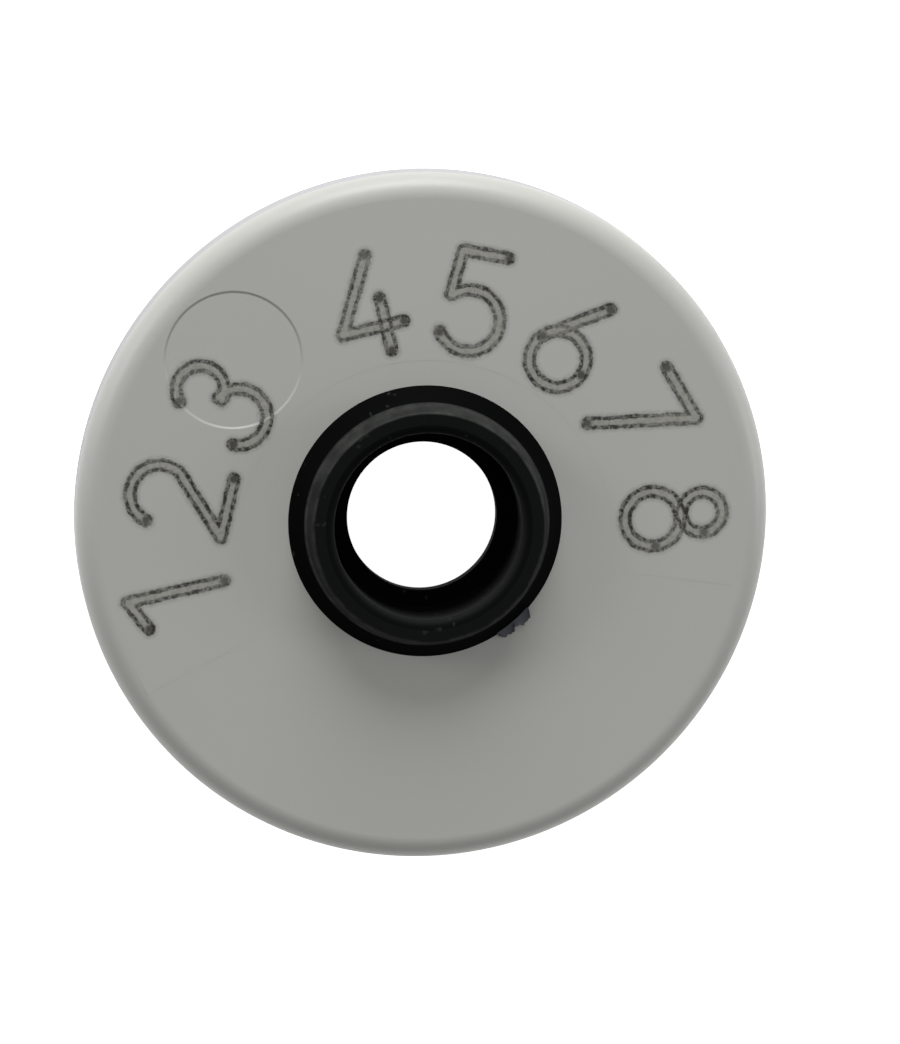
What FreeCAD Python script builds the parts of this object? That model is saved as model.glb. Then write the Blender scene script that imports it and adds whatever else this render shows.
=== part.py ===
import FreeCAD, Part
import math
import os

# Electronic livestock ear tag, female half: a round button that locks on the stud of
# the male half.  Millimetres, +Z up.  The button lies on its ear side, with the origin
# at the centre of that face.  +Z runs up the lock's axis to the numbered face, and the
# numbers stand on an arc round +Y.

# Front cover: the pale lid that carries the numbers.
cover_radius = 15.0
cover_height = 2.4        # from the joint line up to the numbered face
cover_plate = 1.4
cover_wall = 1.2
rim_round = 1.0
lip_bevel = 0.15          # softened lower edge of the rim
collar_ring_width = 0.7   # ring under the plate that centres the cover on the sleeve
collar_ring_depth = 0.8

# Ejector-pin mark: a shallow round print in the numbered face.
pin_mark_radius = 3.0
pin_mark_depth = 0.06
pin_mark_slope = 0.1
pin_mark_reach = 10.9     # from the lock's axis to the mark's centre
pin_mark_angle = 139.0    # degrees round from +X

# Back shell: the dark tray that lies against the ear.
shell_height = 4.6        # ear side up to the joint line
shell_inset = 0.45        # how far the tray stands back from the cover's rim
shell_draft = 14.0        # degrees
shell_floor = 1.2
shell_tongue = 0.9        # thickness of the wall that stands up inside the cover
back_round = 0.8
cavity_bevel = 0.4
sleeve_wall = 0.8

# Lock bush: the hard collar that the stud's tip snaps into.
neck_radius = 3.25
neck_length = 0.6
chamber_radius = 4.05
chamber_ledge = 1.3       # ledge's depth below the numbered face
bush_wall = 1.0
entry_flare = 14.0        # degrees, half angle of the way in from the ear side
collar_radius = 5.92
shoulder_height = 0.82    # numbered face up to the top of the sloping shoulder
shoulder_radius = 5.22
crown_height = 1.68       # numbered face up to the collar's top
crown_radius = 5.0
crown_round = 0.12
mouth_round = 0.4

# Transponder.
coil_height = 2.4
coil_bevel = 0.35
board_thickness = 0.6
board_width = 1.7
board_margin = 0.4        # solder joint to the board's end
board_ledge_height = 0.7
board_ledge_width = 0.8
chip_length = 1.5
chip_width = 1.5
chip_height = 0.7
tuning_length = 2.0
tuning_width = 1.25
tuning_height = 0.9
charge_length = 3.2
charge_width = 1.4
charge_height = 1.2
wire_radius = 0.12
lead_rise = 0.55          # from the board up to the lead's run to the coil
solder_radius = 0.5
solder_height = 0.4
rib_count = 9
rib_thickness = 0.3
rib_height = 1.0
rib_angle = 14.0          # degrees of arc in each rib
resin_cover = 0.4         # resin above the coil or the tallest component

# Clearances.
cover_fit = 0.05          # radial, tray's tongue inside the cover
bush_fit = 0.03           # radial, bush inside the sleeve and the cover
board_gap = 0.2           # board to sleeve
rib_gap = 0.08            # rib to the board and to the coil
coil_gap = 0.2            # coil to the tray's wall
part_gap = 0.5            # between neighbours on the board

# Heights and radii that follow.
joint_z = shell_height
face_z = joint_z + cover_height
plate_z = face_z - cover_plate
top_z = face_z + crown_height
shoulder_z = face_z + shoulder_height
ledge_z = face_z - chamber_ledge
neck_z = ledge_z - neck_length
entry_radius = neck_radius + neck_z * math.tan(math.radians(entry_flare))

bush_radius = chamber_radius + bush_wall
sleeve_bore = bush_radius + bush_fit
sleeve_radius = sleeve_bore + sleeve_wall
tongue_radius = cover_radius - cover_wall - cover_fit
cavity_radius = tongue_radius - shell_tongue
flange_radius = cover_radius - shell_inset
back_radius = flange_radius - shell_height * math.tan(math.radians(shell_draft))

board_inner = sleeve_radius + board_gap
board_outer = board_inner + board_width
board_middle = (board_inner + board_outer) / 2
rib_inner = board_outer + rib_gap
coil_inner = rib_inner + rib_thickness + rib_gap
coil_outer = cavity_radius - coil_gap

floor_z = shell_floor
board_z = floor_z + board_ledge_height
board_top = board_z + board_thickness
coil_top = floor_z + coil_height
lead_z = board_top + lead_rise
tallest_part = max(chip_height, tuning_height, charge_height)
resin_z = max(coil_top, lead_z + wire_radius, board_top + tallest_part) + resin_cover

AXIS = FreeCAD.Vector(0, 0, 1)
ORIGIN = FreeCAD.Vector(0, 0, 0)


def turn_over(length, width=0.0):
    """Degrees that a length spans on the board's middle line, at its inner side if it has a width."""
    return math.degrees(math.atan2(length, board_middle - width / 2))


# Angles on the board, from the chip at its middle out to its ends.
gap_turn = turn_over(part_gap, board_width)
chip_turn = turn_over(chip_length / 2, chip_width)
tuning_turn = turn_over(tuning_length / 2, tuning_width)
charge_turn = turn_over(charge_length / 2, charge_width)
solder_turn = turn_over(solder_radius, 2 * solder_radius)
tuning_angle = chip_turn + gap_turn + tuning_turn
charge_angle = chip_turn + gap_turn + charge_turn
last_part = max(tuning_angle + tuning_turn, charge_angle + charge_turn)
solder_angle = last_part + gap_turn + solder_turn
board_angle = 2 * (solder_angle + solder_turn + turn_over(board_margin))


def turned(corners):
    """Solid turned about Z from (radius, height) corners."""
    points = [FreeCAD.Vector(radius, 0, height) for radius, height in corners]
    outline = Part.makePolygon(points + points[:1])
    return Part.Face(outline).revolve(ORIGIN, AXIS, 360)


def edges_at(solid, places):
    """The circular edges that lie at the given (radius, height) places."""
    circles = [edge for edge in solid.Edges if isinstance(edge.Curve, Part.Circle)]
    return [
        edge for edge in circles for radius, height in places
        if abs(edge.Curve.Radius - radius) < 1e-4 and abs(edge.Curve.Center.z - height) < 1e-4
    ]


def rounded(solid, size, places):
    """The solid with the edges at these places rounded."""
    return solid.makeFillet(size, edges_at(solid, places))


def bevelled(solid, size, places):
    """The solid with the edges at these places cut off at 45 degrees."""
    return solid.makeChamfer(size, edges_at(solid, places))


def sector(inner, outer, low, high, start, sweep):
    """Part of a ring, from the start angle through the sweep, in degrees."""
    blank = Part.makeCylinder(outer, high - low, FreeCAD.Vector(0, 0, low), AXIS, sweep)
    bore = Part.makeCylinder(inner, high - low, FreeCAD.Vector(0, 0, low), AXIS, sweep)
    piece = blank.cut(bore)
    piece.rotate(ORIGIN, AXIS, start)
    return piece


def front_cover():
    """Lid with a rolled rim, an opening for the bush and a centring ring below."""
    bore = bush_radius + bush_fit
    ring_inner = sleeve_radius + cover_fit
    ring_outer = ring_inner + collar_ring_width
    ring_z = plate_z - collar_ring_depth
    inside = cover_radius - cover_wall
    lid = turned([
        (bore, face_z), (cover_radius, face_z), (cover_radius, joint_z), (inside, joint_z),
        (inside, plate_z), (ring_outer, plate_z), (ring_outer, ring_z), (ring_inner, ring_z),
        (ring_inner, plate_z), (bore, plate_z),
    ])
    lid = rounded(lid, rim_round, [(cover_radius, face_z)])
    lid = bevelled(lid, lip_bevel, [(cover_radius, joint_z)])
    return lid.cut(pin_mark())


def pin_mark():
    """Shallow disc with a sloped edge that the ejector pin leaves in the numbered face."""
    angle = math.radians(pin_mark_angle)
    x = pin_mark_reach * math.cos(angle)
    y = pin_mark_reach * math.sin(angle)
    floor = FreeCAD.Vector(x, y, face_z - pin_mark_depth)
    floor_radius = pin_mark_radius - pin_mark_slope
    return Part.makeCone(floor_radius, pin_mark_radius, pin_mark_depth, floor)


def back_shell():
    """Tapered tray with a sleeve for the bush, a board ledge and ribs for the coil."""
    tray = turned([
        (sleeve_bore, 0), (back_radius, 0), (flange_radius, joint_z), (tongue_radius, joint_z),
        (tongue_radius, plate_z), (cavity_radius, plate_z), (cavity_radius, floor_z),
        (sleeve_radius, floor_z), (sleeve_radius, plate_z), (sleeve_bore, plate_z),
    ])
    tray = rounded(tray, back_round, [(back_radius, 0)])
    tray = bevelled(tray, cavity_bevel, [(cavity_radius, floor_z)])
    ledge_radius = sleeve_radius + board_ledge_width
    ledge = sector(sleeve_radius, ledge_radius, floor_z, board_z, -board_angle / 2, board_angle)
    return tray.fuse([ledge] + coil_ribs()).removeSplitter()


def coil_ribs():
    """Short arcs on the tray's floor that keep the coil centred round the board."""
    outer = rib_inner + rib_thickness
    high = floor_z + rib_height
    starts = [(turn + 0.5) * 360 / rib_count - rib_angle / 2 for turn in range(rib_count)]
    return [sector(rib_inner, outer, floor_z, high, start, rib_angle) for start in starts]


def lock_bush():
    """Hard bush with a stepped collar, a chamber for the stud's tip and a thin neck."""
    bush = turned([
        (entry_radius, 0), (bush_radius, 0), (bush_radius, face_z), (collar_radius, face_z),
        (shoulder_radius, shoulder_z), (crown_radius, top_z), (chamber_radius, top_z),
        (chamber_radius, ledge_z), (neck_radius, ledge_z), (neck_radius, neck_z),
    ])
    bush = rounded(bush, crown_round, [(crown_radius, top_z)])
    return rounded(bush, mouth_round, [(chamber_radius, top_z)])


def antenna_coil():
    """Bonded ring of fine wire that lies on the tray's floor."""
    corners = [
        (coil_inner, floor_z), (coil_outer, floor_z),
        (coil_outer, coil_top), (coil_inner, coil_top),
    ]
    return bevelled(turned(corners), coil_bevel, corners)


def circuit_board():
    """Arc of board between the sleeve and the coil, on the tray's ledge."""
    return sector(board_inner, board_outer, board_z, board_top, -board_angle / 2, board_angle)


def on_board(length, width, height, angle):
    """Box on the board's middle line, its length along the arc."""
    corner = FreeCAD.Vector(board_middle - width / 2, -length / 2, board_top)
    box = Part.makeBox(width, length, height, corner)
    box.rotate(ORIGIN, AXIS, angle)
    return box


def coil_lead(side):
    """Wire from the coil's inner face to the solder joint at one end; side is -1 or 1."""
    bend = lead_rise / 2
    start = FreeCAD.Vector(coil_inner, 0, lead_z)
    over = FreeCAD.Vector(board_middle + bend, 0, lead_z)
    down = FreeCAD.Vector(board_middle, 0, lead_z - bend)
    end = FreeCAD.Vector(board_middle, 0, board_top)
    slope = bend * (1 - math.sqrt(0.5))
    middle = FreeCAD.Vector(board_middle + slope, 0, lead_z - slope)
    route = Part.Wire([
        Part.LineSegment(start, over).toShape(),
        Part.Arc(over, middle, down).toShape(),
        Part.LineSegment(down, end).toShape(),
    ])
    ring = Part.Wire(Part.Circle(start, FreeCAD.Vector(-1, 0, 0), wire_radius).toShape())
    lead = route.makePipeShell([ring], True, True)
    lead.rotate(ORIGIN, AXIS, side * solder_angle)
    return lead.cut(antenna_coil())


def solder_joint(side):
    """Flat dome of solder round the end of a lead."""
    dome_radius = (solder_radius ** 2 + solder_height ** 2) / (2 * solder_height)
    centre = FreeCAD.Vector(board_middle, 0, board_top + solder_height - dome_radius)
    ball = Part.makeSphere(dome_radius, centre)
    slab = Part.makeCylinder(solder_radius, solder_height, FreeCAD.Vector(board_middle, 0, board_top))
    dome = ball.common(slab)
    dome.rotate(ORIGIN, AXIS, side * solder_angle)
    return dome.cut(coil_lead(side))


def potting_resin(inner_pieces):
    """Resin poured over the transponder, round everything that stands in the tray."""
    pool = turned([
        (sleeve_radius, floor_z), (cavity_radius, floor_z),
        (cavity_radius, resin_z), (sleeve_radius, resin_z),
    ])
    return pool.cut(inner_pieces)


def build():
    """All pieces of the tag, by node name."""
    pieces = {
        "front_cover": front_cover(),
        "back_shell": back_shell(),
        "lock_bush": lock_bush(),
        "antenna_coil": antenna_coil(),
        "circuit_board": circuit_board(),
        "transponder_chip": on_board(chip_length, chip_width, chip_height, 0),
        "tuning_capacitor": on_board(tuning_length, tuning_width, tuning_height, tuning_angle),
        "charge_capacitor": on_board(charge_length, charge_width, charge_height, -charge_angle),
        "coil_lead_start": coil_lead(-1),
        "coil_lead_finish": coil_lead(1),
        "solder_joint_start": solder_joint(-1),
        "solder_joint_finish": solder_joint(1),
    }
    embedded = [solid for name, solid in pieces.items() if name not in ("front_cover", "lock_bush")]
    pieces["potting_resin"] = potting_resin(embedded)
    return pieces


os.makedirs("parts", exist_ok=True)
for node, shape in build().items():
    shape.exportStep("parts/" + node + ".step")
    state = "valid" if shape.isValid() else "NOT VALID"
    print(node, len(shape.Solids), "solid", round(shape.Volume, 2), "mm3", state)
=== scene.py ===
import bpy
import math
import numpy as np
from mathutils import Matrix, Vector


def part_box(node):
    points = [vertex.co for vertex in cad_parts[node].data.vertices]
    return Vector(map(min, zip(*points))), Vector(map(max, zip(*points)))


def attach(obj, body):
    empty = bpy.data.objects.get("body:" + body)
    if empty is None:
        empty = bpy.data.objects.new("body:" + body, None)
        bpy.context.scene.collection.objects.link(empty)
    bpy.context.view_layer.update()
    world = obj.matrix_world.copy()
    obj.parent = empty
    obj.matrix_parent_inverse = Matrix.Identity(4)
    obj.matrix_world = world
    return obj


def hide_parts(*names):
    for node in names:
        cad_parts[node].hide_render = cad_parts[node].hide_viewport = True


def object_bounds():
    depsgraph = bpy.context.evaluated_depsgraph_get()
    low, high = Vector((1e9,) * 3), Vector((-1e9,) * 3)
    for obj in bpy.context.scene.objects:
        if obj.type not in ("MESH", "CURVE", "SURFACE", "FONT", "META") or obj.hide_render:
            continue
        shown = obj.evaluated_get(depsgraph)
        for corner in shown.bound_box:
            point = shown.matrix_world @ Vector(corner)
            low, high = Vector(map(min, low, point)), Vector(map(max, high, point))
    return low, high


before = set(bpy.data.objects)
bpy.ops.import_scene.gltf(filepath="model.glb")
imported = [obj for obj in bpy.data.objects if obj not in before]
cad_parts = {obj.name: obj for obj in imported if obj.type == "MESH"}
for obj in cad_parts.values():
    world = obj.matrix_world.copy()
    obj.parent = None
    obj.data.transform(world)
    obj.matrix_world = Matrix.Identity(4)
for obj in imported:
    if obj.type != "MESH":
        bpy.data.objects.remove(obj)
cadLow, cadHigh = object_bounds()
mm = 0.001
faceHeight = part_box("front_cover")[1].z
topHeight = cadHigh.z
scene = bpy.context.scene

# Camera: far off on a long lens, a little to the upper left of the lock's axis.
cameraSettings = {
    "lens": 200.0,            # mm on a 36 mm sensor
    "distance": 244.2 * mm,   # above the numbered face
    "leanRight": -0.108,      # sideways run for each unit of height
    "leanUp": 0.180,
    "aimRight": 1.07 * mm,    # point on the numbered face at the picture's centre
    "aimUp": -0.05 * mm,
}


def addCamera(settings):
    place = Vector((
        settings["leanRight"] * settings["distance"],
        settings["leanUp"] * settings["distance"],
        faceHeight + settings["distance"],
    ))
    aim = Vector((settings["aimRight"], settings["aimUp"], faceHeight))
    back = (place - aim).normalized()
    right = Vector((0, 1, 0)).cross(back).normalized()
    up = back.cross(right)
    data = bpy.data.cameras.new("camera")
    data.lens = settings["lens"]
    data.clip_start = 0.01
    data.clip_end = 10
    camera = bpy.data.objects.new("camera", data)
    camera.matrix_world = Matrix((
        (right.x, up.x, back.x, place.x),
        (right.y, up.y, back.y, place.y),
        (right.z, up.z, back.z, place.z),
        (0, 0, 0, 1),
    ))
    scene.collection.objects.link(camera)
    scene.camera = camera


addCamera(cameraSettings)
print("camera placed")

# Lamps: a broad low key from the top of the numbers, two weak side lamps and an even
# dim world.
lampSettings = {
    "reach": 0.45,            # from the object to each lamp, in metres
    "keyHeight": 19.0,        # degrees above the floor
    "keyWide": 0.34,
    "keyTall": 0.22,
    "keyEnergy": 1.68,
    "sideHeight": 20.0,
    "sideSize": 0.16,
    "rightTurn": 0.0,         # degrees round from +X
    "rightEnergy": 0.34,
    "leftTurn": 155.0,
    "leftEnergy": 0.42,
    "world": 0.30,
}


# A lamp on a sphere round the object: x = reach cos(height) cos(turn), y = reach
# cos(height) sin(turn), z = reach sin(height), looking at the origin.
def addLamp(name, turn, height, wide, tall, energy):
    turn, height = math.radians(turn), math.radians(height)
    place = lampSettings["reach"] * Vector((
        math.cos(height) * math.cos(turn), math.cos(height) * math.sin(turn), math.sin(height),
    ))
    data = bpy.data.lights.new(name, "AREA")
    data.shape = "ELLIPSE"
    data.size = wide
    data.size_y = tall
    data.energy = energy
    lamp = bpy.data.objects.new(name, data)
    lamp.location = place
    lamp.rotation_euler = place.to_track_quat("Z", "Y").to_euler()
    scene.collection.objects.link(lamp)


def addLamps(s):
    addLamp("keyLamp", 90, s["keyHeight"], s["keyWide"], s["keyTall"], s["keyEnergy"])
    side = (s["sideHeight"], s["sideSize"], s["sideSize"])
    addLamp("rightLamp", s["rightTurn"], *side, s["rightEnergy"])
    addLamp("leftLamp", s["leftTurn"], *side, s["leftEnergy"])
    world = bpy.data.worlds.new("studio")
    scene.world = world
    world.use_nodes = True
    background = world.node_tree.nodes["Background"]
    background.inputs["Color"].default_value = (s["world"], s["world"], s["world"], 1)


addLamps(lampSettings)
print("lamps placed")


# Shader building blocks.
def addNode(tree, kind, **values):
    node = tree.nodes.new(kind)
    for name, value in values.items():
        setattr(node, name, value)
    return node


def put(tree, socket, value):
    if isinstance(value, bpy.types.NodeSocket):
        tree.links.new(value, socket)
    elif isinstance(value, tuple) and len(value) == 3 and len(socket.default_value) == 4:
        socket.default_value = (*value, 1)
    else:
        socket.default_value = value


def calc(tree, operation, first, second=0.0, third=0.0):
    node = addNode(tree, "ShaderNodeMath", operation=operation)
    put(tree, node.inputs[0], first)
    put(tree, node.inputs[1], second)
    put(tree, node.inputs[2], third)
    return node.outputs[0]


def smoothStep(tree, value, low, high, fromLow=0.0, toHigh=1.0):
    node = addNode(tree, "ShaderNodeMapRange", interpolation_type="SMOOTHSTEP")
    put(tree, node.inputs["Value"], value)
    node.inputs["From Min"].default_value = low
    node.inputs["From Max"].default_value = high
    node.inputs["To Min"].default_value = fromLow
    node.inputs["To Max"].default_value = toHigh
    return node.outputs["Result"]


def mixColour(tree, factor, first, second):
    node = addNode(tree, "ShaderNodeMix", data_type="RGBA")
    put(tree, node.inputs[0], factor)
    put(tree, node.inputs[6], first)
    put(tree, node.inputs[7], second)
    return node.outputs[2]


def tinted(colour, share):
    return tuple(share * c for c in colour)


# A colour that wanders between two tints of itself with a mask from -1 to 1.
def driftColour(tree, drift, colour, low, high):
    share = calc(tree, "MULTIPLY_ADD", drift, 0.5, 0.5)
    return mixColour(tree, share, tinted(colour, low), tinted(colour, high))


# Distance from the origin in the plane: the root of x squared plus y squared.
def planeDistance(tree, x, y):
    xx, yy = calc(tree, "MULTIPLY", x, x), calc(tree, "MULTIPLY", y, y)
    return calc(tree, "SQRT", calc(tree, "ADD", xx, yy))


def splitParts(tree, vector):
    node = addNode(tree, "ShaderNodeSeparateXYZ")
    tree.links.new(vector, node.inputs["Vector"])
    return node.outputs


def noise(tree, vector, scale, detail=2.0, rough=0.5):
    node = addNode(tree, "ShaderNodeTexNoise")
    put(tree, node.inputs["Vector"], vector)
    node.inputs["Scale"].default_value = scale
    node.inputs["Detail"].default_value = detail
    node.inputs["Roughness"].default_value = rough
    return node.outputs["Fac"]


def newGroup(name, inputs, outputs):
    group = bpy.data.node_groups.new(name, "ShaderNodeTree")
    for label, kind, value in inputs:
        socket = group.interface.new_socket(label, in_out="INPUT", socket_type=kind)
        if value is not None:
            socket.default_value = value
    for label, kind in outputs:
        group.interface.new_socket(label, in_out="OUTPUT", socket_type=kind)
    return group, group.nodes.new("NodeGroupInput"), group.nodes.new("NodeGroupOutput")


# Moulded grain: fine noise for the skin of moulded plastic, as a height in metres, slow
# noise from -1 to 1 for the colour's drift, and a mask of small pale specks.
def makeGrainGroup():
    group, given, result = newGroup(
        "mouldedGrain",
        [
            ("Vector", "NodeSocketVector", None),
            ("Depth", "NodeSocketFloat", 2e-6),
            ("Drift Scale", "NodeSocketFloat", 120.0),
        ],
        [(label, "NodeSocketFloat") for label in ("Height", "Drift", "Speck")],
    )
    fine = noise(group, given.outputs["Vector"], 5200.0, 3.0, 0.6)
    slow = addNode(group, "ShaderNodeTexNoise")
    group.links.new(given.outputs["Vector"], slow.inputs["Vector"])
    group.links.new(given.outputs["Drift Scale"], slow.inputs["Scale"])
    slow.inputs["Detail"].default_value = 3.0
    specks = noise(group, given.outputs["Vector"], 2600.0, 1.0, 0.4)
    group.links.new(calc(group, "MULTIPLY", fine, given.outputs["Depth"]), result.inputs["Height"])
    drift = calc(group, "MULTIPLY_ADD", slow.outputs["Fac"], 2.0, -1.0)
    group.links.new(drift, result.inputs["Drift"])
    group.links.new(smoothStep(group, specks, 0.72, 0.78), result.inputs["Speck"])
    return group


grainGroup = makeGrainGroup()


def startMaterial(name):
    material = bpy.data.materials.new(name)
    material.use_nodes = True
    tree = material.node_tree
    place = addNode(tree, "ShaderNodeTexCoord").outputs["Object"]
    return material, tree, tree.nodes["Principled BSDF"], place


def placeGrain(tree, place, depth, driftScale):
    node = addNode(tree, "ShaderNodeGroup", node_tree=grainGroup)
    tree.links.new(place, node.inputs["Vector"])
    node.inputs["Depth"].default_value = depth
    node.inputs["Drift Scale"].default_value = driftScale
    return node.outputs["Height"], node.outputs["Drift"], node.outputs["Speck"]


def putHeight(tree, shader, height):
    bump = addNode(tree, "ShaderNodeBump")
    bump.inputs["Distance"].default_value = 1.0
    tree.links.new(height, bump.inputs["Height"])
    tree.links.new(bump.outputs["Normal"], shader.inputs["Normal"])


print("shader groups ready")


# Surfaces. A turned piece is a closed profile of (radius, height) carried round Z:
# x = radius cos(turn), y = radius sin(turn), z = height.
def addPiece(name, points, faces, smooth=True):
    mesh = bpy.data.meshes.new(name)
    mesh.from_pydata(points.tolist(), [], faces)
    mesh.polygons.foreach_set("use_smooth", np.full(len(mesh.polygons), smooth))
    mesh.update()
    piece = bpy.data.objects.new(name, mesh)
    scene.collection.objects.link(piece)
    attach(piece, "root")
    return piece


# Quads between neighbouring rows and columns of a grid that closes on itself both ways.
def ringFaces(rows, columns):
    row, column = np.meshgrid(np.arange(rows), np.arange(columns), indexing="ij")
    nextRow, nextColumn = (row + 1) % rows, (column + 1) % columns
    quads = np.stack([
        row * columns + column, nextRow * columns + column,
        nextRow * columns + nextColumn, row * columns + nextColumn,
    ], axis=-1)
    return quads.reshape(-1, 4).tolist()


def turnedPiece(name, profile, steps=360):
    turn = np.linspace(0, 2 * math.pi, steps, endpoint=False)[:, None]
    radius, height = profile[:, 0][None], profile[:, 1][None]
    points = np.stack([radius * np.cos(turn), radius * np.sin(turn), height + 0 * turn], axis=-1)
    return addPiece(name, points.reshape(-1, 3), ringFaces(steps, len(profile)))


# Corner of a profile rounded with a radius: the arc that touches both sides, with its points spread
# evenly round it.
def roundedCorner(before, corner, after, radius, steps=10):
    before, corner, after = (np.array(p, dtype=float) for p in (before, corner, after))
    toBefore = (before - corner) / np.linalg.norm(before - corner)
    toAfter = (after - corner) / np.linalg.norm(after - corner)
    halfAngle = math.acos(float(np.clip(np.dot(toBefore, toAfter), -1, 1))) / 2
    reach = radius / math.tan(halfAngle)
    middle = (toBefore + toAfter) / np.linalg.norm(toBefore + toAfter)
    centre = corner + middle * radius / math.sin(halfAngle)
    start, finish = corner + toBefore * reach - centre, corner + toAfter * reach - centre
    share = np.linspace(0, 1, steps + 1)[:, None]
    whole = math.pi - 2 * halfAngle
    arc = (np.sin((1 - share) * whole) * start + np.sin(share * whole) * finish) / math.sin(whole)
    return centre + arc


# Closed profile in metres from (radius, height, rounding) corners in millimetres. Each
# straight side gets a few points, drawn close to its ends to hold the shading flat.
def profileFrom(corners, endGap=0.03):
    count = len(corners)
    pieces = []
    for i, (radius, height, rounding) in enumerate(corners):
        before, after = corners[i - 1][:2], corners[(i + 1) % count][:2]
        if rounding > 0:
            pieces.append(roundedCorner(before, (radius, height), after, rounding))
        else:
            pieces.append(np.array([[radius, height]], dtype=float))
    path = []
    for i, arc in enumerate(pieces):
        path.append(arc)
        start, finish = arc[-1], pieces[(i + 1) % count][0]
        length = np.linalg.norm(finish - start)
        inset = min(endGap, length * 0.2) / length
        share = np.array([[inset], [0.5], [1 - inset]])
        path.append(start + (finish - start) * share)
    return np.concatenate(path) * mm


# Pale lid: the CAD lid's outline with its rim rolled more softly at both tangents.
coverSettings = {
    "radius": 15.0,
    "faceHeight": 7.0,
    "jointHeight": 4.6,
    "plateHeight": 5.6,
    "inside": 13.8,
    "bore": 5.08,
    "rimRound": 1.0,
    "lipRound": 0.15,
    "colour": (0.505, 0.51, 0.478),
    "wallShadeColour": (0.36, 0.36, 0.375),   # painted shade on the rim's upright side, darker and bluer below its rounded edge
    "wallShadeFade": (0.85, 1.15),        # depths below the face where the painted shade starts and is full
    "markPlace": (-8.226, 7.151),    # ejector-pin mark
    "markRadius": 3.0,
    "markSlope": 0.13,
    "markDepth": 0.06,
}


def makeCover(s):
    profile = profileFrom([
        (s["bore"], s["faceHeight"], 0.05),
        (s["bore"], s["plateHeight"], 0),
        (s["inside"], s["plateHeight"], 0),
        (s["inside"], s["jointHeight"], 0),
        (s["radius"], s["jointHeight"], s["lipRound"]),
        (s["radius"], s["faceHeight"], s["rimRound"]),
    ])
    piece = turnedPiece("cover_shell", profile)
    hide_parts("front_cover")
    return piece


cover = makeCover(coverSettings)
print("cover built")

# Black lock bush: the collar steps up twice round the mouth of the hole.
bushSettings = {
    "entryRadius": 4.52,
    "seatRadius": 5.05,
    "collarRadius": 5.92,
    "shoulderRadius": 5.22,
    "shoulderHeight": 7.82,
    "crownRadius": 5.0,
    "crownRound": 0.12,
    "chamberRadius": 4.05,
    "mouthRound": 0.4,
    "ledgeHeight": 5.7,
    "neckRadius": 3.25,
    "neckHeight": 5.1,
    "colour": (0.0013, 0.0013, 0.0014),
    "topColour": (0.0043, 0.0050, 0.0047),    # the flat top, dulled by handling
    "boreLightColour": (0.0135, 0.0145, 0.0138),   # painted light on the mouth's rounding and upper wall, before it fades with depth
    "bandHighlightColour": (0.034, 0.036, 0.034),      # painted highlight on the upright band
    # edge wear with a painted glint, on two thin rings
    "edgeWearAndGlint": (0.05, 0.052, 0.05),
    "speckColour": (0.03, 0.032, 0.032),
    "boreLightFade": 1.5,                          # depth at which the mouth's painted light has faded into painted shade, the plain dark colour
    "flatFade": (0.2, 0.02),
    "bandInset": (0.10, 0.04),                # the band starts and is full this far in
    "bandLift": (0.03, 0.10),                 # and this far above the shoulder
    "shoulderRing": (0.02, 0.09),             # offset and half width of a ring of edge wear with a painted glint
    "crownRing": (-0.03, 0.1),
    "specular": 0.1,
    "roughness": 0.46,
    "mattSpecular": 0.02,
    "mattRoughness": 0.6,
}


def makeBush(s):
    top = topHeight / mm
    profile = profileFrom([
        (s["neckRadius"], s["ledgeHeight"], 0.08),
        (s["neckRadius"], s["neckHeight"], 0.05),
        (s["entryRadius"], 0.0, 0.05),
        (s["seatRadius"], 0.0, 0.05),
        (s["seatRadius"], coverSettings["faceHeight"], 0),
        (s["collarRadius"], coverSettings["faceHeight"], 0),
        (s["shoulderRadius"], s["shoulderHeight"], 0.02),
        (s["crownRadius"], top, s["crownRound"]),
        (s["chamberRadius"], top, s["mouthRound"]),
        (s["chamberRadius"], s["ledgeHeight"], 0.05),
    ])
    piece = turnedPiece("lock_collar", profile)
    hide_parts("lock_bush")
    return piece


bush = makeBush(bushSettings)
print("bush built")

# A thin torn flake of moulding flash at the collar's foot.
flashSettings = {
    "turn": -49.5,            # degrees round from +X
    "sweep": 17.0,
    "reach": 0.52,            # how far it stands out past the collar, in millimetres
    "thickness": 0.03,
    "rooted": 0.12,           # how far it runs in under the collar
    "curl": 0.16,
    "colour": (0.10, 0.105, 0.125),
}


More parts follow.
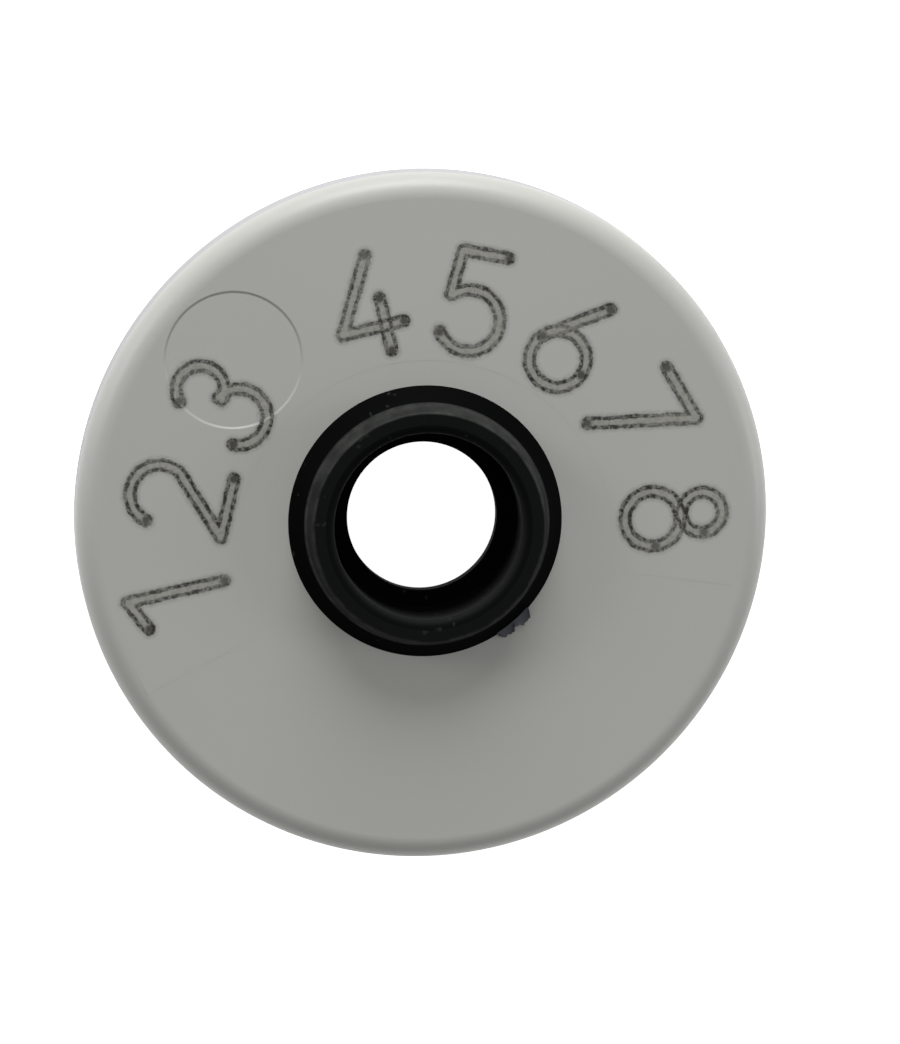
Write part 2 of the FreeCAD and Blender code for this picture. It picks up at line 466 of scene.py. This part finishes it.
# Grid over (along, across): a ragged tongue whose reach is a few sines of along, lifted
# from the face by a curl that grows towards its free edge.
def makeFlash(s):
    along, across = np.meshgrid(np.linspace(0, 1, 61), np.linspace(0, 1, 15), indexing="ij")
    turn = np.radians(s["turn"] + s["sweep"] * (along - 0.5))
    ragged = 0.62 + 0.22 * np.sin(9 * along + 0.6)
    ragged = ragged + 0.10 * np.sin(23 * along) + 0.06 * np.sin(51 * along + 1.0)
    tapered = np.sin(math.pi * np.clip(along * 1.02 - 0.01, 0, 1)) ** 0.5
    reach = s["reach"] * ragged * tapered
    radius = bushSettings["collarRadius"] - s["rooted"] + across * (reach + s["rooted"])
    curl = 0.05 + s["curl"] * across ** 2 * (0.6 + 0.4 * np.sin(14 * along + 2.0))
    height = coverSettings["faceHeight"] + curl
    x, y = radius * np.cos(turn), radius * np.sin(turn)
    sheets = [
        np.stack([x, y, height + lift], axis=-1).reshape(-1, 3)
        for lift in (s["thickness"], 0.0)
    ]
    rows, columns = along.shape
    row, column = np.meshgrid(np.arange(rows - 1), np.arange(columns - 1), indexing="ij")
    corner = row * columns + column
    below = corner + columns
    upper = np.stack([corner, below, below + 1, corner + 1], axis=-1).reshape(-1, 4)
    count = rows * columns
    rim = np.concatenate([
        np.arange(columns), np.arange(1, rows) * columns + columns - 1,
        (rows - 1) * columns + np.arange(columns - 2, -1, -1), np.arange(rows - 2, 0, -1) * columns,
    ])
    after = np.roll(rim, -1)
    sides = np.stack([rim, after, after + count, rim + count], axis=-1)
    faces = np.concatenate([upper[:, ::-1], upper + count, sides])
    return addPiece("collar_flash", np.concatenate(sheets) * mm, faces.tolist())


flash = makeFlash(flashSettings)
print("flash built")

# Plain numbers, burnt into the face on an arc. Each digit is one or two strokes, and a
# stroke is a chain of lines and arcs in millimetres about the digit's middle.
numberSettings = {
    "digits": "12345678",
    "angles": (192.0, 167.2, 143.6, 103.0, 79.0, 54.9, 30.7, 6.4),
    "centre": (0.0, -1.2),
    "radius": 10.87,
    "inner": 8.2,
    "outer": 13.5,
    "startAngle": -8.0,
    "endAngle": 207.0,
    "lift": 0.004,
    "sunk": 0.05,             # depth of the strip's underside below the face
    "across": 70,
    "along": 500,
    "lineOffset": 0.20,       # the two burnt lines lie this far from the stroke's middle
    "farthest": 0.8,          # distance at which a point counts as clear of every stroke
}

# ("line", x0, y0, x1, y1) or ("arc", x, y, radius, start, finish) with angles in degrees.
digitStrokes = {
    "1": [[("line", -0.72, 1.48, 0.62, 2.13), ("line", 0.62, 2.13, 0.62, -2.13)]],
    "2": [[
        ("arc", 0.0, 0.85, 1.27, 165.0, -30.0),
        ("line", 1.1, 0.215, -1.3, -2.13),
        ("line", -1.3, -2.13, 1.3, -2.13),
    ]],
    "3": [[("arc", -0.02, 1.1, 1.03, 155.0, -82.0), ("arc", -0.02, -0.93, 1.22, 82.0, -155.0)]],
    "4": [
        [("line", 0.35, 2.13, -1.35, -1.0), ("line", -1.35, -1.0, 1.35, -1.0)],
        [("line", 0.55, 0.2, 0.55, -2.13)],
    ],
    "5": [[
        ("line", 1.15, 2.13, -0.85, 2.13),
        ("line", -0.85, 2.13, -1.02, 0.16),
        ("arc", -0.03, -0.81, 1.33, 131.0, -150.0),
    ]],
    "6": [[("arc", 0.0, -0.9, 1.23, 0.0, 360.0)], [("line", -1.13, -0.42, 0.65, 2.13)]],
    "7": [[("line", -1.3, 2.05, 1.3, 2.05), ("line", 1.3, 2.05, -1.0, -2.1)]],
    "8": [[("arc", 0.0, 1.24, 0.88, 0.0, 360.0)], [("arc", 0.0, -0.93, 1.2, 0.0, 360.0)]],
}


def arcPoint(x, y, radius, angle):
    turn = math.radians(angle)
    return x + radius * math.cos(turn), y + radius * math.sin(turn)


# Distance from points to one stroke: the least over its parts of the distance to a
# segment (project, clamp, subtract) or to an arc (radial distance inside its sweep,
# and distance to the nearer end outside it).
def strokeDistance(x, y, stroke):
    best = np.full(x.shape, 1e3)
    for part in stroke:
        if part[0] == "line":
            x0, y0, x1, y1 = part[1:]
            length = (x1 - x0) ** 2 + (y1 - y0) ** 2
            share = np.clip(((x - x0) * (x1 - x0) + (y - y0) * (y1 - y0)) / length, 0, 1)
            found = np.hypot(x - x0 - share * (x1 - x0), y - y0 - share * (y1 - y0))
        else:
            cx, cy, radius, start, finish = part[1:]
            low, sweep = min(start, finish), abs(finish - start)
            angle = (np.degrees(np.arctan2(y - cy, x - cx)) - low) % 360
            ring = np.abs(np.hypot(x - cx, y - cy) - radius)
            ends = [arcPoint(cx, cy, radius, a) for a in (start, finish)]
            toEnds = np.minimum(*[np.hypot(x - endX, y - endY) for endX, endY in ends])
            found = np.where(angle <= sweep, ring, toEnds)
        best = np.minimum(best, found)
    return best


def strokeEnds(stroke):
    first, last = stroke[0], stroke[-1]
    ends = []
    for part, angle, corner in ((first, 4, (1, 2)), (last, 5, (3, 4))):
        if part[0] == "line":
            ends.append((part[corner[0]], part[corner[1]]))
        else:
            ends.append(arcPoint(*part[1:4], part[angle]))
    return ends


# The numbers' skin: a closed strip whose cross-section is carried round the arc's
# centre: x = cx + r cos(turn), y = cy + r sin(turn), at a fixed small lift on the face.
def makeNumbers(s):
    rows = s["along"]
    radii = np.linspace(s["inner"], s["outer"], s["across"])
    turn = np.radians(np.linspace(s["startAngle"], s["endAngle"], rows))[:, None]
    height = np.full(s["across"], coverSettings["faceHeight"] + s["lift"])
    radii = np.concatenate([radii, [s["outer"], s["inner"]]])
    height = np.concatenate([height, [coverSettings["faceHeight"] - s["sunk"]] * 2])
    x = s["centre"][0] + radii[None] * np.cos(turn)
    y = s["centre"][1] + radii[None] * np.sin(turn)
    z = height[None] + 0 * turn
    points = np.stack([x, y, z], axis=-1).reshape(-1, 3)
    columns = len(radii)
    row, column = np.meshgrid(np.arange(rows - 1), np.arange(columns), indexing="ij")
    nextColumn = (column + 1) % columns
    quads = np.stack([
        row * columns + column, row * columns + nextColumn,
        (row + 1) * columns + nextColumn, (row + 1) * columns + column,
    ], axis=-1).reshape(-1, 4).tolist()
    firstCap = list(range(columns))[::-1]
    lastCap = [(rows - 1) * columns + i for i in range(columns)]
    faces = quads + [firstCap, lastCap]
    piece = addPiece("face_numbers", points * mm, faces, smooth=False)

    nearest = np.full((2, len(points)), s["farthest"])
    dots = np.full(len(points), s["farthest"])
    for digit, angle in zip(s["digits"], s["angles"]):
        a = math.radians(angle)
        cx, cy = arcPoint(*s["centre"], s["radius"], angle)
        dx, dy = points[:, 0] - cx, points[:, 1] - cy
        localX = dx * math.sin(a) - dy * math.cos(a)
        localY = dx * math.cos(a) + dy * math.sin(a)
        for k, stroke in enumerate(digitStrokes[digit]):
            nearest[k] = np.minimum(nearest[k], strokeDistance(localX, localY, stroke))
            for ex, ey in strokeEnds(stroke):
                dots = np.minimum(dots, np.hypot(localX - ex, localY - ey))
    named = (("strokeNearA", nearest[0]), ("strokeNearB", nearest[1]), ("dotNear", dots))
    for name, values in named:
        attribute = piece.data.attributes.new(name, "FLOAT", "POINT")
        attribute.data.foreach_set("value", s["farthest"] - values)
    return piece


numbers = makeNumbers(numberSettings)
print("numbers built")


# Finishes.
burnSettings = {
    "wobbleScale": 2600.0,
    "gritScale": 6500.0,
    "patchScale": 420.0,
    "wobble": 0.14,           # how far a burnt line strays, in millimetres
    "line": (0.05, 0.13),     # full dark to clear, each in millimetres from its middle
    "dot": (0.10, 0.30),
    "coreReach": (0.12, 0.26),
    "haloReach": (0.2, 0.52),
    "burnt": (0.022, 0.020, 0.016),
    "halo": (0.13, 0.13, 0.115),
    "core": (0.36, 0.35, 0.31),
    "depth": 8e-6,
    "roughness": 0.42,
}


# Pale plastic: the face's burnt numbers, painted shade on the upright rim and the pin mark's edge.
def makeCoverPlastic(s, n, b):
    material, tree, shader, place = startMaterial("coverPlastic")
    height, drift, _ = placeGrain(tree, place, 3e-6, 90.0)
    far = n["farthest"]

    def attributeDistance(name):
        node = addNode(tree, "ShaderNodeAttribute", attribute_name=name)
        return calc(tree, "SUBTRACT", far, node.outputs["Fac"])

    # Burnt lines: dark where the distance to a stroke is near the line offset.
    wobble = noise(tree, place, b["wobbleScale"], 2.0, 0.6)
    speckle = noise(tree, place, b["gritScale"], 3.0, 0.7)
    patchy = noise(tree, place, b["patchScale"], 2.0, 0.5)
    shift = calc(tree, "MULTIPLY_ADD", wobble, b["wobble"], -b["wobble"] / 2)

    def lineMask(distance):
        moved = calc(tree, "ADD", distance, shift)
        off = calc(tree, "ABSOLUTE", calc(tree, "SUBTRACT", moved, n["lineOffset"]))
        return smoothStep(tree, off, *b["line"], 1.0, 0.0)

    distanceA, distanceB = attributeDistance("strokeNearA"), attributeDistance("strokeNearB")
    toEnd = calc(tree, "ADD", attributeDistance("dotNear"), shift)
    dots = smoothStep(tree, toEnd, *b["dot"], 1.0, 0.0)
    lines = calc(tree, "MAXIMUM", lineMask(distanceA), lineMask(distanceB))
    nearest = calc(tree, "MINIMUM", distanceA, distanceB)
    core = smoothStep(tree, nearest, *b["coreReach"], 1.0, 0.0)
    halo = smoothStep(tree, calc(tree, "ADD", nearest, shift), *b["haloReach"], 1.0, 0.0)
    grit = smoothStep(tree, speckle, 0.40, 0.60)
    strength = smoothStep(tree, patchy, 0.3, 0.6, 0.72, 1.0)
    burnt = calc(tree, "MULTIPLY", lines, calc(tree, "MULTIPLY_ADD", grit, 0.5, 0.5))
    burnt = calc(tree, "MAXIMUM", burnt, calc(tree, "MULTIPLY", dots, 0.85))
    burnt = calc(tree, "MULTIPLY", burnt, strength)

    base = driftColour(tree, drift, s["colour"], 0.97, 1.03)
    z = splitParts(tree, place)["Z"]
    wallTop, wallFull = [(s["faceHeight"] - depth) * mm for depth in s["wallShadeFade"]]
    # Painted shade: the upright rim turns darker and bluer below its rounded edge.
    base = mixColour(tree, smoothStep(tree, z, wallTop, wallFull), base, s["wallShadeColour"])
    haloShare = calc(tree, "MULTIPLY", halo, calc(tree, "MULTIPLY_ADD", grit, 0.3, 0.28))
    base = mixColour(tree, haloShare, base, b["halo"])
    coreShare = calc(tree, "MULTIPLY", core, calc(tree, "MULTIPLY_ADD", grit, -0.35, 0.6))
    base = mixColour(tree, coreShare, base, b["core"])
    base = mixColour(tree, burnt, base, b["burnt"])
    tree.links.new(base, shader.inputs["Base Color"])
    shader.inputs["Roughness"].default_value = b["roughness"]

    # The ejector-pin mark: depth falls over a short slope at its edge.
    markX, markY = s["markPlace"]
    shifted = addNode(tree, "ShaderNodeMapping", vector_type="POINT")
    tree.links.new(place, shifted.inputs["Vector"])
    shifted.inputs["Location"].default_value = (-markX * mm, -markY * mm, 0)
    fromMark = splitParts(tree, shifted.outputs["Vector"])
    reach = planeDistance(tree, fromMark["X"], fromMark["Y"])
    inner, outer = (s["markRadius"] - s["markSlope"]) * mm, s["markRadius"] * mm
    edge = smoothStep(tree, reach, inner, outer, -s["markDepth"] * mm, 0.0)
    total = calc(tree, "ADD", height, edge)
    total = calc(tree, "ADD", total, calc(tree, "MULTIPLY", burnt, -b["depth"]))
    putHeight(tree, shader, total)
    return material


def makePlastic(name, colour, rough, grain, driftScale):
    material, tree, shader, place = startMaterial(name)
    height, drift, _ = placeGrain(tree, place, grain, driftScale)
    base = driftColour(tree, drift, colour, 0.85, 1.15)
    tree.links.new(base, shader.inputs["Base Color"])
    tree.links.new(calc(tree, "MULTIPLY_ADD", drift, 0.06, rough), shader.inputs["Roughness"])
    putHeight(tree, shader, height)
    return material


# The collar's plastic: dark shoulder, dulled flat top, painted light in the mouth that fades into
# painted shade with depth, a painted highlight on the upright band, strongest on the +Y side that
# faces the key lamp, and two thin broken rings of edge wear with a painted glint.
def makeLockPlastic(name, s, specular, rough):
    material, tree, shader, place = startMaterial(name)
    height, drift, speck = placeGrain(tree, place, 2e-6, 260.0)
    x, y, z = splitParts(tree, place)
    reach = planeDistance(tree, x, y)
    broken = smoothStep(tree, noise(tree, place, 900.0, 3.0, 0.6), 0.35, 0.65)
    top = topHeight / mm

    def reachStep(low, high):
        return smoothStep(tree, reach, low * mm, high * mm)

    def heightStep(low, high):
        return smoothStep(tree, z, low * mm, high * mm)

    def ringMask(radius, low, offset, half):
        off = calc(tree, "ABSOLUTE", calc(tree, "SUBTRACT", reach, (radius + offset) * mm))
        ring = smoothStep(tree, off, 0.0, half * mm, 1.0, 0.0)
        return calc(tree, "MULTIPLY", ring, heightStep(low - 0.12, low - 0.08))

    outside = reachStep(*[s["crownRadius"] - inset for inset in s["bandInset"]])
    aboveShoulder = heightStep(*[s["shoulderHeight"] + lift for lift in s["bandLift"]])
    # Painted highlight on the upright band: strongest on the +Y side, which faces the key lamp,
    # weaker round the other sides and broken up by noise.
    keySideShare = smoothStep(tree, calc(tree, "DIVIDE", y, reach), -0.2, 0.9, 0.25, 1.0)
    band = calc(tree, "MULTIPLY", calc(tree, "MULTIPLY", outside, aboveShoulder), keySideShare)
    band = calc(tree, "MULTIPLY", band, calc(tree, "MULTIPLY_ADD", broken, 0.6, 0.5))
    inside = calc(tree, "SUBTRACT", 1.0, outside)
    flatLow, flatHigh = [top - depth for depth in s["flatFade"]]
    # Painted light on the mouth's rounding and upper bore wall, fading with depth into painted
    # shade.
    bore = calc(tree, "MULTIPLY", heightStep(top - s["boreLightFade"], flatLow), inside)
    flat = heightStep(flatLow, flatHigh)
    wear = calc(tree, "MULTIPLY_ADD", drift, 0.15, 0.15)
    # Thin broken rings at the shoulder's and crown's edges: edge wear together with a painted
    # glint.
    shoulder = ringMask(s["shoulderRadius"], s["shoulderHeight"], *s["shoulderRing"])
    shoulder = calc(tree, "MULTIPLY", shoulder, calc(tree, "MULTIPLY_ADD", broken, 0.5, 0.5))
    crown = ringMask(s["crownRadius"], top, *s["crownRing"])
    crown = calc(tree, "MULTIPLY", crown, calc(tree, "MULTIPLY", broken, 0.5))

    base = mixColour(tree, wear, s["colour"], s["topColour"])
    base = mixColour(tree, bore, base, s["boreLightColour"])
    base = mixColour(tree, flat, base, s["topColour"])
    base = mixColour(tree, band, base, s["bandHighlightColour"])
    base = mixColour(tree, calc(tree, "MAXIMUM", shoulder, crown), base, s["edgeWearAndGlint"])
    base = mixColour(tree, calc(tree, "MULTIPLY", speck, 0.5), base, s["speckColour"])
    tree.links.new(base, shader.inputs["Base Color"])
    tree.links.new(calc(tree, "MULTIPLY_ADD", drift, 0.08, rough), shader.inputs["Roughness"])
    shader.inputs["Specular IOR Level"].default_value = specular
    putHeight(tree, shader, height)
    return material


def makeMetal(name, colour, rough, scale):
    material, tree, shader, place = startMaterial(name)
    height, drift, _ = placeGrain(tree, place, 2e-6, scale)
    base = driftColour(tree, drift, colour, 0.8, 1.0)
    tree.links.new(base, shader.inputs["Base Color"])
    tree.links.new(calc(tree, "MULTIPLY_ADD", drift, 0.08, rough), shader.inputs["Roughness"])
    shader.inputs["Metallic"].default_value = 1.0
    putHeight(tree, shader, height)
    return material


coverPlastic = makeCoverPlastic(coverSettings, numberSettings, burnSettings)
bushPlastic = makeLockPlastic(
    "lockPlastic", bushSettings, bushSettings["specular"], bushSettings["roughness"])
shoulderPlastic = makeLockPlastic(
    "lockPlasticMatt", bushSettings, bushSettings["mattSpecular"], bushSettings["mattRoughness"])

# Plastics: colour, roughness, grain depth in metres and scale of the colour's drift.
plasticSettings = {
    "shellPlastic": ((0.012, 0.012, 0.013), 0.5, 6e-6, 150.0),
    "flashPlastic": (flashSettings["colour"], 0.35, 3e-6, 900.0),
    "castResin": ((0.10, 0.075, 0.04), 0.2, 1e-6, 100.0),
    "boardLaminate": ((0.02, 0.12, 0.05), 0.35, 2e-6, 400.0),
    "packagePlastic": ((0.02, 0.02, 0.021), 0.5, 4e-6, 500.0),
    "capacitorCeramic": ((0.38, 0.27, 0.16), 0.45, 3e-6, 500.0),
}
# Metals: colour, roughness and scale of the colour's drift.
metalSettings = {
    "copperWire": ((0.72, 0.33, 0.17), 0.3, 300.0),
    "solderMetal": ((0.7, 0.7, 0.72), 0.25, 600.0),
}
plain = {name: makePlastic(name, *values) for name, values in plasticSettings.items()}
plain.update({name: makeMetal(name, *values) for name, values in metalSettings.items()})

nodeFinishes = {
    "front_cover": coverPlastic,
    "lock_bush": bushPlastic,
    "back_shell": plain["shellPlastic"],
    "antenna_coil": plain["copperWire"],
    "coil_lead_start": plain["copperWire"],
    "coil_lead_finish": plain["copperWire"],
    "circuit_board": plain["boardLaminate"],
    "transponder_chip": plain["packagePlastic"],
    "tuning_capacitor": plain["capacitorCeramic"],
    "charge_capacitor": plain["capacitorCeramic"],
    "solder_joint_start": plain["solderMetal"],
    "solder_joint_finish": plain["solderMetal"],
    "potting_resin": plain["castResin"],
}
for name, finish in nodeFinishes.items():
    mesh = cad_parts[name].data
    mesh.materials.clear()
    mesh.materials.append(finish)
newFinishes = ((cover, coverPlastic), (numbers, coverPlastic), (flash, plain["flashPlastic"]))
for piece, finish in newFinishes:
    piece.data.materials.append(finish)


# The collar takes the matt finish on its shoulder and inside its mouth.
def finishBush(s):
    mesh = bush.data
    mesh.materials.append(bushPlastic)
    mesh.materials.append(shoulderPlastic)
    middles = np.empty(3 * len(mesh.polygons))
    mesh.polygons.foreach_get("center", middles)
    middles = middles.reshape(-1, 3) / mm
    reach = np.hypot(middles[:, 0], middles[:, 1])
    onShoulder = (reach > s["shoulderRadius"]) & (middles[:, 2] > coverSettings["faceHeight"])
    inMouth = reach < s["chamberRadius"] + s["mouthRound"] - 0.01
    mesh.polygons.foreach_set("material_index", (onShoulder | inMouth).astype(np.int32))


finishBush(bushSettings)
print("finishes placed")


# Floor: pale, and plain white to the camera except for the object's soft shadow.
def addFloor(half=0.6):
    mesh = bpy.data.meshes.new("floor")
    corners = [(-half, -half, 0), (half, -half, 0), (half, half, 0), (-half, half, 0)]
    mesh.from_pydata(corners, [], [(0, 1, 2, 3)])
    floor = bpy.data.objects.new("floor", mesh)
    scene.collection.objects.link(floor)
    material, tree, shader, place = startMaterial("floorPaint")
    shader.inputs["Base Color"].default_value = (0.8, 0.8, 0.8, 1)
    shader.inputs["Roughness"].default_value = 0.9
    path = addNode(tree, "ShaderNodeLightPath")
    shader.inputs["Emission Color"].default_value = (1, 1, 1, 1)
    seen = calc(tree, "MAXIMUM", path.outputs["Is Glossy Ray"], path.outputs["Is Transmission Ray"])
    seen = calc(tree, "MAXIMUM", seen, path.outputs["Is Camera Ray"])
    tree.links.new(seen, shader.inputs["Emission Strength"])
    mesh.materials.append(material)


addFloor()
scene.view_settings.view_transform = "Standard"
print("floor laid")
